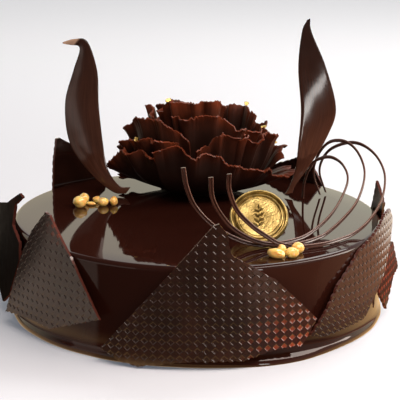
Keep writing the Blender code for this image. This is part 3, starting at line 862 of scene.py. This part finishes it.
def grooved_strand(node, keys, pieces=150):
    """keys are points in mm from the free left end to the end that stands behind on the cake."""
    lowest = CAKE_H + CLEAR + STRAND_R
    data = bpy.data.curves.new(node, "CURVE")
    data.dimensions = "3D"
    line = data.splines.new("POLY")
    line.points.add(pieces)
    for n, (x, y, z) in enumerate(smooth_path(keys, pieces)):
        line.points[n].co = (MM * x, MM * y, max(MM * z, lowest), 1.0)
    mesh = with_nodes(node, data, STRAND_TREE, {
        "Half Width": 1.15 * STRAND_R, "Half Depth": 0.75 * STRAND_R,
        "Groove Depth": 0.55 * STRAND_R, "Groove Width": 0.42, "Thinning": STRAND_THINNING,
        "Chocolate": STRAND_CHOCOLATE})
    work = bmesh.new()
    work.from_mesh(mesh)
    bmesh.ops.remove_doubles(work, verts=work.verts[:], dist=0.000001)
    bmesh.ops.recalc_face_normals(work, faces=work.faces[:])
    work.to_mesh(mesh)
    work.free()
    as_piece(node + "_grooved", shaded(mesh, sharp=50.0), "strand_chocolate", node)


STRAND_TREE = grooved_strand_tree()
STRAND_CHOCOLATE = strand_chocolate()

grooved_strand("strand_left",
               [(-8, -85, 106), (-6, -82, 94), (-1, -79, 82), (10, -76, 70), (25, -72, 61),
                (38, -69, 58), (53, -60, 58), (65, -46, 59), (79, -28, 67), (88, -11, 80),
                (86, -2, 88), (79, 7, 91), (71, 15, 87), (67, 22, 79), (65, 30, 68),
                (65, 37, 58)])
grooved_strand("strand_middle",
               [(7, -90, 102), (8, -87, 90), (13, -83, 79), (21, -78, 69), (34, -73, 61),
                (48, -68, 58), (60, -63, 58), (71, -50, 58), (83, -37, 64), (93, -25, 73),
                (98, -11, 85), (95, 0, 95), (88, 9, 100), (79, 17, 98), (73, 26, 88),
                (71, 35, 74), (76, 46, 58)])
grooved_strand("strand_right",
               [(17, -90, 104), (17, -87, 95), (21, -84, 83), (29, -80, 73), (39, -77, 65),
                (47, -74, 60), (60, -71, 58), (73, -64, 58), (86, -50, 58), (98, -37, 63),
                (107, -24, 73), (110, -10, 84), (106, 0, 93), (98, 10, 98), (89, 19, 97),
                (79, 30, 89), (75, 40, 75), (80, 52, 58)])

# ==== the gold disc ===============================================================================
# A chocolate seal cast in a mould and dusted with edible gold: a double raised ring round a
# hammered face with a plain leafy sprig. It leans back with its lower edge in the glaze.
DISC_R = 0.0168
DISC_X = 0.0350
DISC_Y = -0.0575
DISC_LEAN = math.radians(40.0)
DISC_SUNK = 0.0012
DISC_FACE = 0.0009
DISC_FACE_R = 0.0118
DENT_DEPTH = 0.00016
SET_IN_GLAZE = 0.0004


def gold_dust(name, dark, light):
    made, tree, shader = new_material(name)
    place_grain(tree, shader, dark, light, cloud=160.0, gloss=(0.24, 0.42), bump=0.5,
                detail=3.0, patches=(0.35, 0.65), grain=700.0, depth=0.0002)
    feed(shader, {"Metallic": 0.8})
    return made


def hammered(radius, height, angle):
    """Small dents all over the face inside the rings, and a rim that is not quite round."""
    spot = Vector((radius * math.cos(angle), radius * math.sin(angle), 0.0))
    if height > 0.0 and radius < DISC_FACE_R + 0.0001:
        height += DENT_DEPTH * noise.noise(spot * 1700.0)
    return radius * (1.0 + 0.004 * noise.noise(spot * 180.0)), height


def sprig(work):
    """A stem and pairs of pointed leaves, raised on the disc's face."""
    stem = [(-0.0008, -0.0088), (0.0, -0.0050), (0.0002, 0.0), (-0.0001, 0.0048)]
    path = smooth_path(stem, 14)
    leaves = [(path[14], 90.0, 0.0034)]
    for n in range(4):
        x, y = path[3 + 3 * n]
        for side in (1.0, -1.0):
            leaves.append(((x, y + 0.0004 * side), 90.0 - side * 48.0, 0.0046 - 0.0004 * n))

    def ridge(middle, aside, peak):
        """A low triangle across a leaf or the stem, its feet just under the face."""
        return [work.verts.new((*(middle + aside * side), DISC_FACE + rise))
                for side, rise in ((1.0, -0.0001), (0.0, peak), (-1.0, -0.0001))]

    for (x, y), turn, length in leaves:
        heading = Vector((math.cos(math.radians(turn)), math.sin(math.radians(turn))))
        aside = Vector((-heading.y, heading.x))
        start = Vector((x, y))
        tips = [work.verts.new((*(start + heading * reach), DISC_FACE))
                for reach in (0.0, length)]
        ridges = [ridge(start + heading * length * t,
                        aside * 0.26 * length * math.sin(math.pi * t ** 0.8), 0.0009)
                  for t in (0.25, 0.5, 0.75)]
        for near, far in zip(ridges, ridges[1:]):
            for k in (0, 1):
                work.faces.new((near[k], near[k + 1], far[k + 1], far[k]))
            work.faces.new((near[0], far[0], far[2], near[2]))
        for tip, end in ((tips[0], ridges[0]), (tips[1], ridges[-1])):
            for k, l in ((0, 1), (1, 2), (2, 0)):
                work.faces.new((tip, end[k], end[l]))
    for near_at, far_at in zip(path, path[1:]):
        near, far = (ridge(Vector(at), Vector((-0.00028, 0.0)), 0.0004)
                     for at in (near_at, far_at))
        for k, l in ((0, 1), (1, 2), (2, 0)):
            work.faces.new((near[k], near[l], far[l], far[k]))
        work.faces.new(near)
        work.faces.new(far[::-1])


def gold_disc():
    profile = [(DISC_FACE_R * n / 34.0, DISC_FACE) for n in range(34)]
    profile += [(DISC_FACE_R, DISC_FACE - 0.0001), (0.0121, 0.0003), (0.0124, 0.0003),
                (0.0128, 0.0014), (0.0131, 0.0017), (0.0135, 0.0016), (0.0138, 0.0011),
                (0.0141, 0.0002), (0.0145, 0.0001), (0.0150, 0.0014), (0.0155, 0.0021),
                (0.0160, 0.0021), (0.0165, 0.0014), (DISC_R, 0.0005), (DISC_R, -0.0009),
                (DISC_R - 0.0005, -0.0015), (0.0, -0.0015)]
    work = turned(profile, 176, hammered)
    sprig(work)
    bmesh.ops.recalc_face_normals(work, faces=work.faces[:])
    seat = Vector((DISC_X, DISC_Y + DISC_R * math.sin(DISC_LEAN),
                   CAKE_H - DISC_SUNK + DISC_R * math.cos(DISC_LEAN)))
    work.transform(Matrix.Translation(seat)
                   @ Matrix.Rotation(math.pi / 2.0 - DISC_LEAN, 4, "X"))
    low = bmesh.ops.bisect_plane(work, geom=work.verts[:] + work.edges[:] + work.faces[:],
                                 plane_co=(0.0, 0.0, CAKE_H - SET_IN_GLAZE),
                                 plane_no=(0.0, 0.0, 1.0), clear_inner=True)
    rim = [item for item in low["geom_cut"] if isinstance(item, bmesh.types.BMEdge)]
    bmesh.ops.contextual_create(work, geom=rim)
    look = gold_dust("gold_dust", (0.19, 0.132, 0.038), (0.48, 0.365, 0.135))
    mesh = mesh_of(work, "gold_disc", look, sharp=40.0)
    as_piece("gold_disc_stamped", mesh, "gold", "gold_disc")


gold_disc()

# ==== the gold flakes =============================================================================
# A few crumpled scraps of edible gold leaf, beaten thinner than paper. They are dropped on the
# flower's rims with tweezers, and cling there by themselves.


def gold_flakes(places):
    """One flake for each fan and share of the way along its rim, with its size in mm."""
    look = gold_dust("gold_leaf", (0.70, 0.50, 0.13), (0.95, 0.74, 0.28))
    chance = random.Random(5)
    for n, (node, u, size) in enumerate(places, start=1):
        rim = RIMS[node]
        spot = Vector(rim[round(u * (len(rim) - 1))])
        work = bmesh.new()
        bmesh.ops.create_icosphere(work, subdivisions=2, radius=1.0)
        for v in work.verts:
            torn = 1.0 + 0.7 * noise.noise(v.co * 1.6 + 9.0 * spot.normalized())
            fold = 0.45 * noise.noise(Vector((v.co.x * 1.8, v.co.y * 1.8, float(n))))
            v.co = (v.co.x * torn, 0.62 * v.co.y * torn, 0.07 * v.co.z + fold)
        turn = Matrix.Rotation(chance.uniform(0.5, 1.3), 4, "X")
        turn = Matrix.Rotation(chance.uniform(-1.2, 1.2), 4, "Z") @ turn
        work.transform(Matrix.Translation(spot + Vector((0.0, 0.0, 0.3 * size * MM))) @ turn
                       @ Matrix.Scale(size * MM, 4))
        as_piece(f"gold_flake_{n}", mesh_of(work, f"gold_flake_{n}", look), "gold")


gold_flakes([("fan_d_front", 0.08, 2.3), ("fan_b_left", 0.66, 2.2), ("fan_d_right", 0.38, 2.2),
             ("fan_c_right", 0.12, 2.0), ("fan_b_right", 0.5, 1.2)])

# ==== the caramel nuts ============================================================================
# Roasted nut halves tumbled in clear golden caramel, so they are smooth, shiny and a little lumpy.
# They lie in two small groups that the caramel sticks to the glaze.


def caramel():
    made, tree, shader = new_material("caramel_nut")
    cloud = clouds(tree, 240.0, 4.0)
    feed(shader, {
        "Roughness": 0.3, "Coat Weight": 0.6, "Coat Roughness": 0.08,
        "Subsurface Weight": 0.25, "Subsurface Scale": 0.002,
        "Subsurface Radius": (1.0, 0.45, 0.15),
        "Base Color": blend_colour(tree, spread(tree, cloud, 0.42, 0.68), (0.95, 0.66, 0.20),
                                   (0.76, 0.40, 0.085)),
        "Normal": bumps(tree, cloud, 0.25, 0.0003)})
    return made


def caramel_nut(node, x, y, half_sizes, spin, look):
    """x, y and half_sizes in mm; spin in degrees about Z."""
    a, b, c = half_sizes
    turn = math.radians(spin)
    work = bmesh.new()
    bmesh.ops.create_icosphere(work, subdivisions=4, radius=1.0)
    for v in work.verts:
        lump = 1.0 + 0.10 * noise.noise(v.co * 1.4 + Vector((x, y, 0.0)))
        lump += 0.03 * noise.noise(v.co * 4.0 + Vector((y, x, 0.0)))
        dent = 0.16 * math.exp(-8.0 * v.co.y ** 2) * max(0.0, v.co.z) ** 2
        along = v.co.x * a * (1.0 + 0.10 * v.co.y) * lump
        across = v.co.y * b * (1.0 - 0.12 * v.co.x) * lump
        rise = max(-1.0, v.co.z * lump - dent)
        v.co = (MM * (x + along * math.cos(turn) - across * math.sin(turn)),
                MM * (y + along * math.sin(turn) + across * math.cos(turn)),
                CAKE_H - SET_IN_GLAZE + MM * c * (1.0 + rise))
    as_piece(node + "_caramel", mesh_of(work, node, look), "nut", node)


def caramel_nuts():
    look = caramel()
    groups = {
        "left": [(-71.4, 14.5, (4.3, 3.9, 3.7), 0), (-69.4, 24.6, (3.0, 3.2, 3.3), 20),
                 (-65.0, 19.4, (2.9, 1.4, 1.3), -14), (-62.0, 26.6, (2.4, 2.1, 2.1), 0),
                 (-57.6, 18.4, (3.3, 3.1, 2.8), 10), (-51.2, 19.8, (2.4, 2.8, 3.0), 0)],
        "front": [(43.2, -88.0, (5.6, 3.1, 2.9), -38), (46.8, -80.6, (2.6, 2.5, 3.0), 0),
                  (52.2, -87.0, (3.9, 3.1, 3.0), 5), (55.8, -78.6, (3.7, 2.9, 3.3), 12)],
    }
    for group, members in groups.items():
        for n, (x, y, half_sizes, spin) in enumerate(members, start=1):
            caramel_nut(f"nut_{group}_{n}", x, y, half_sizes, spin, look)


caramel_nuts()

# ==== the studio ==================================================================================
# A floor that looks pale and plain, with painted reflections and a painted golden glow for the
# chocolate to pick up, bright pale light from behind, soft boxes at both sides and a dim room in
# front, seen through a long lens from a little above the glaze.
LAMP_FAR = 1.15
WINDOW_TALL = 0.26


def ease(tree, value, start, end):
    """0 to 1, softly, as value goes from start to end."""
    return add(tree, "ShaderNodeMapRange", {0: value, 1: start, 2: end},
               interpolation_type="SMOOTHSTEP")


def studio_floor():
    """Pale to the camera, and a little brighter further off. The chocolate picks up a painted
    room from it: dim brown, lighter at both sides, with a painted gold reflection and a painted
    golden glow close by, which keeps the dark glaze dark."""
    look, tree, shader = new_material("pale_floor")
    place = add(tree, "ShaderNodeTexCoord", output="Object")
    x, y, z = split(tree, place)
    reach = add(tree, "ShaderNodeVectorMath", {0: place}, output="Value", operation="LENGTH")
    seen = add(tree, "ShaderNodeLightPath", output="Is Camera Ray")

    soft = blend_colour(tree, clouds(tree, 1.5, 2.0), (0.575, 0.605, 0.655),
                        (0.605, 0.635, 0.685))
    pale = blend_colour(tree, ease(tree, reach, 0.2, 1.1), soft, (0.88, 0.92, 0.98))
    haze = blend_colour(tree, ease(tree, reach, 0.3, 2.5), (0.070, 0.088, 0.115),
                        (0.260, 0.295, 0.335))

    # In front, painted light on the floor to the left of a slanting line and painted shade to the
    # right of it, only in what the chocolate picks up.
    slant_x, slant_y, slant_off = -0.469, 0.883, 0.0567
    beside = calc(tree, "MULTIPLY_ADD", y, slant_y,
                  calc(tree, "MULTIPLY_ADD", x, slant_x, slant_off))
    painted_lit = calc(tree, "MULTIPLY", ease(tree, beside, -0.004, 0.004), ease(tree, y, 0.02, -0.03))
    beyond = blend_colour(tree, ease(tree, y, -0.14, -0.10), (0.34, 0.13, 0.06),
                          (0.47, 0.22, 0.12))
    # Painted reflection: gold close to the cake, strongest to the right.
    gold = blend_colour(tree, ease(tree, x, 0.02, 0.09), (0.34, 0.20, 0.08), (0.80, 0.55, 0.25))
    near = blend_colour(tree, painted_lit, gold, (0.76, 0.62, 0.50))
    painted_room = layered(tree, (0.034, 0.025, 0.020),
                       (painted_lit, (0.58, 0.53, 0.49)),
                       (ease(tree, x, 0.10, 0.22), beyond),
                       (ease(tree, y, 0.08, 0.20), (0.95, 0.86, 0.74)),
                       (ease(tree, reach, 0.155, 0.125), near))
    # Painted light: close in front of the cake the floor glows gold for all but the camera, though
    # it is no lamp.
    painted_glow_reach = calc(tree, "MULTIPLY", ease(tree, reach, 0.150, 0.130), ease(tree, y, 0.0, -0.05))
    painted_golden_glow = blend_colour(tree, painted_glow_reach, (0.0, 0.0, 0.0), (0.9, 0.58, 0.26))
    feed(shader, {"Roughness": 0.9, "Emission Strength": 1.0,
                  "Base Color": blend_colour(tree, seen, painted_room, pale),
                  "Emission Color": blend_colour(tree, seen, painted_golden_glow, haze)})
    work = bmesh.new()
    bmesh.ops.create_grid(work, x_segments=1, y_segments=1, size=6.0)
    in_scene("floor", mesh_of(work, "floor", look))


def studio_world():
    """Bright and warm low down behind, dim overhead and in front, lighter at the sides."""
    world = bpy.data.worlds.new("studio")
    bpy.context.scene.world = world
    world.use_nodes = True
    tree = world.node_tree
    x, y, z = split(tree, add(tree, "ShaderNodeTexCoord", output="Generated"))
    low_left = calc(tree, "MULTIPLY", ease(tree, x, -0.3, -0.65), ease(tree, z, 0.30, 0.12))
    glow = blend_colour(tree, ease(tree, x, -0.08, 0.10), (1.12, 1.00, 0.74), (1.48, 1.42, 1.10))
    behind = blend_colour(tree, ease(tree, z, 0.15, 0.5), glow, (1.0, 1.0, 1.0))
    room = layered(tree, (0.10, 0.090, 0.082),
                   (low_left, (0.50, 0.46, 0.44)),
                   (ease(tree, x, 0.45, 0.85), (0.75, 0.60, 0.50)),
                   (ease(tree, y, -0.1, 0.45), behind),
                   (ease(tree, z, 0.42, 0.72), (0.17, 0.135, 0.115)))
    feed(tree.nodes["Background"], {"Color": room, "Strength": 1.0})


def lamp(name, size, power, colour):
    """A soft box of that width and height, which shines along its own -Z."""
    data = bpy.data.lights.new(name, "AREA")
    data.shape = "RECTANGLE"
    data.size, data.size_y = size
    data.energy = power
    data.color = colour
    return in_scene(name, data)


def soft_box(name, at, aim, size, power, colour):
    made = lamp(name, size, power, colour)
    made.location = at
    made.rotation_euler = (Vector(aim) - Vector(at)).to_track_quat("-Z", "Y").to_euler()


def window(name, ends, power, colour):
    """A long soft box between two (turn, rise) directions in degrees, from the front."""
    first, second = (
        LAMP_FAR * Vector((math.cos(rise) * math.sin(turn), -math.cos(rise) * math.cos(turn),
                           math.sin(rise)))
        for turn, rise in ((math.radians(t), math.radians(r)) for t, r in ends))
    middle = (first + second) / 2.0
    long_way = (second - first).normalized()
    back = (middle - long_way * middle.dot(long_way)).normalized()
    across = Matrix((long_way, back.cross(long_way), back)).transposed()
    made = lamp(name, ((second - first).length, WINDOW_TALL), power, colour)
    made.matrix_world = Matrix.Translation(middle + Vector((0.0, 0.0, 0.05))) @ across.to_4x4()


def camera():
    data = bpy.data.cameras.new("view")
    data.sensor_width = 36.0
    data.lens = 153.0
    view = in_scene("view", data)
    rise, roll, distance = math.radians(14.8), math.radians(0.6), 1.0149
    aim = Vector((0.0013, 0.0, 0.0655))
    away = Vector((0.0, -math.cos(rise), math.sin(rise)))
    turn = (-away).to_track_quat("-Z", "Y").to_matrix().to_4x4()
    view.matrix_world = (Matrix.Translation(aim + away * distance) @ turn
                         @ Matrix.Rotation(roll, 4, "Z"))
    bpy.context.scene.camera = view


studio_floor()
studio_world()
window("window_right", ((70, 44), (104, 10)), 8.4, (1.0, 0.87, 0.78))
window("window_front", ((-8, 44), (70, 44)), 10.4, (1.0, 0.85, 0.76))
soft_box("low_right", (0.487, -0.747, 0.146), (0.07, 0.05, 0.12), (0.13, 0.26), 1.5,
         (1.0, 0.96, 0.92))
soft_box("low_left", (-0.80, -0.55, 0.15), (-0.05, 0.02, 0.10), (0.70, 0.50), 0.8,
         (1.0, 0.84, 0.74))
soft_box("top_front", (0.18, -0.52, 1.15), (0.0, 0.0, 0.06), (0.6, 0.25), 0.7,
         (1.0, 0.96, 0.90))
soft_box("top_behind", (0.45, 0.70, 1.0), (0.0, 0.0, 0.06), (0.7, 0.5), 7.0,
         (1.0, 0.97, 0.93))
camera()
bpy.context.scene.view_settings.view_transform = "Standard"
